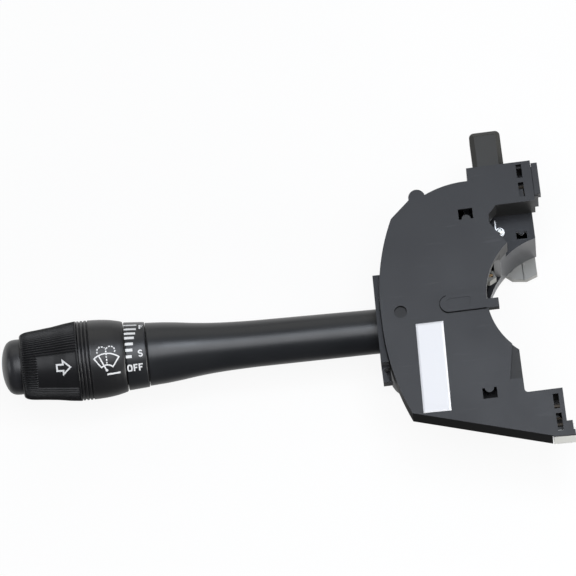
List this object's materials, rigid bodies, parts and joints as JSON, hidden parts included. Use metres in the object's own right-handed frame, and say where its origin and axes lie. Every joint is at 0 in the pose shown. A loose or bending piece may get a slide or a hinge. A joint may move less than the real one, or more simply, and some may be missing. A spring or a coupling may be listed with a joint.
{
  "type": "combination stalk switch",
  "caption": "Steering-column stalk switch with a turn and beam lever, rotary wiper knob with washer button, hazard button, cancel pawl and two connector sockets.",
  "frame": {"origin": "on the steering column's axis, at the level of the rear plate's back face", "axes": "+Z along the column towards the driver, -X along the stalk towards its knob, +Y towards the hazard button"},
  "size_m": [0.2432, 0.1424, 0.0508],
  "materials": {
    "cover_black": "fine grained moulded, matte",
    "base_grey": "moulded, slightly glossier than the cover",
    "stalk_black": "satin, smooth",
    "knob_black": "satin, ribbed grip",
    "button_grey": "satin",
    "connector_white": "moulded, off-white",
    "nylon_natural": "natural nylon",
    "board_brown": "laminated paper board",
    "contact_brass": "stamped",
    "pin_steel": "bright",
    "spring_steel": "drawn wire",
    "zinc_steel": "zinc plated",
    "wire_black": "insulated wire"
  },
  "bodies": {
    "housing": {"front_cover": "cover_black", "base_housing": "base_grey", "rear_plate": "base_grey", "mounting_inserts": "zinc_steel", "housing_screws": "zinc_steel", "block_back_cover": "cover_black", "arm_back_cover": "cover_black", "upper_connector": "cover_black", "lower_connector": "connector_white", "upper_terminals": "contact_brass", "lower_terminals": "contact_brass", "contact_board": "board_brown", "turn_fixed_contacts": "contact_brass", "beam_fixed_contact": "contact_brass", "detent_block": "nylon_natural", "pawl_pin": "pin_steel", "pawl_spring": "spring_steel", "anchor_pin": "pin_steel", "anchor_wire": "spring_steel", "hazard_spring": "spring_steel", "hazard_fixed_contacts": "contact_brass"},
    "turn_carrier": {"turn_carrier": "nylon_natural", "cross_pin": "pin_steel", "detent_spring": "spring_steel", "beam_return_spring": "spring_steel"},
    "lever": {"stalk_tube": "stalk_black", "lever_tail": "nylon_natural", "scale_ring": "stalk_black", "switch_core": "nylon_natural", "stalk_wires": "wire_black", "wiper_board": "board_brown", "click_ball": "pin_steel", "click_spring": "spring_steel", "knob_clip": "spring_steel", "washer_contact": "contact_brass"},
    "wiper_knob": {"knob_collar": "knob_black", "rotor_contact": "contact_brass", "wiper_grip": "knob_black", "washer_spring": "spring_steel"},
    "washer_button": {"washer_button": "knob_black"},
    "hazard_button": {"hazard_button": "button_grey", "hazard_slide": "nylon_natural", "hazard_contact": "contact_brass"},
    "cancel_pawl": {"cancel_pawl": "nylon_natural", "pawl_contact": "contact_brass"},
    "turn_slider": {"turn_slider": "nylon_natural", "turn_contacts": "contact_brass"},
    "beam_plunger": {"beam_plunger": "nylon_natural", "beam_contact": "contact_brass"},
    "detent_plunger": {"detent_plunger": "nylon_natural"}
  },
  "joints": [
    {"name": "turn_lever", "type": "hinge", "parent": "housing", "child": "turn_carrier", "pos_m": [-0.0688, -0.0007, 0.024], "axis": [0, 0, 1], "range_deg": [-14, 14]},
    {"name": "beam_lever", "type": "hinge", "parent": "turn_carrier", "child": "lever", "pos_m": [-0.0688, -0.0007, 0.024], "axis": [0.0279, 0.9996, 0], "range_deg": [0, 7], "stiffness_Nm_per_rad": 4, "springref_deg": -1.15},
    {"name": "wiper_turn", "type": "hinge", "parent": "lever", "child": "wiper_knob", "pos_m": [-0.0688, -0.0007, 0.024], "axis": [-0.9996, 0.0279, 0], "range_deg": [0, 95]},
    {"name": "washer_press", "type": "slide", "parent": "wiper_knob", "child": "washer_button", "axis": [0.9996, -0.0279, 0], "range_m": [0, 0.0035], "stiffness_N_per_m": 500},
    {"name": "hazard_press", "type": "slide", "parent": "housing", "child": "hazard_button", "axis": [0, -1, 0], "range_m": [0, 0.005], "stiffness_N_per_m": 500},
    {"name": "cancel_pawl_swing", "type": "hinge", "parent": "housing", "child": "cancel_pawl", "pos_m": [-0.0395, 0.019, 0.031], "axis": [0, 0, 1], "range_deg": [-8, 8], "stiffness_Nm_per_rad": 0.05},
    {"name": "turn_slide", "type": "slide", "parent": "housing", "child": "turn_slider", "axis": [0, 1, 0], "range_m": [-0.0045, 0.0045]},
    {"name": "beam_press", "type": "slide", "parent": "turn_carrier", "child": "beam_plunger", "axis": [0, 0, -1], "range_m": [0, 0.0011], "deforming": ["beam_return_spring"]},
    {"name": "detent_press", "type": "slide", "parent": "turn_carrier", "child": "detent_plunger", "axis": [-0.9996, 0.0279, 0], "range_m": [0, 0.0015], "stiffness_N_per_m": 1500}
  ],
  "couplings": [
    {"joint": "turn_slide", "follows": "turn_lever", "m_per_rad": 0.018},
    {"joint": "beam_press", "follows": "beam_lever", "m_per_rad": 0.009}
  ]
}
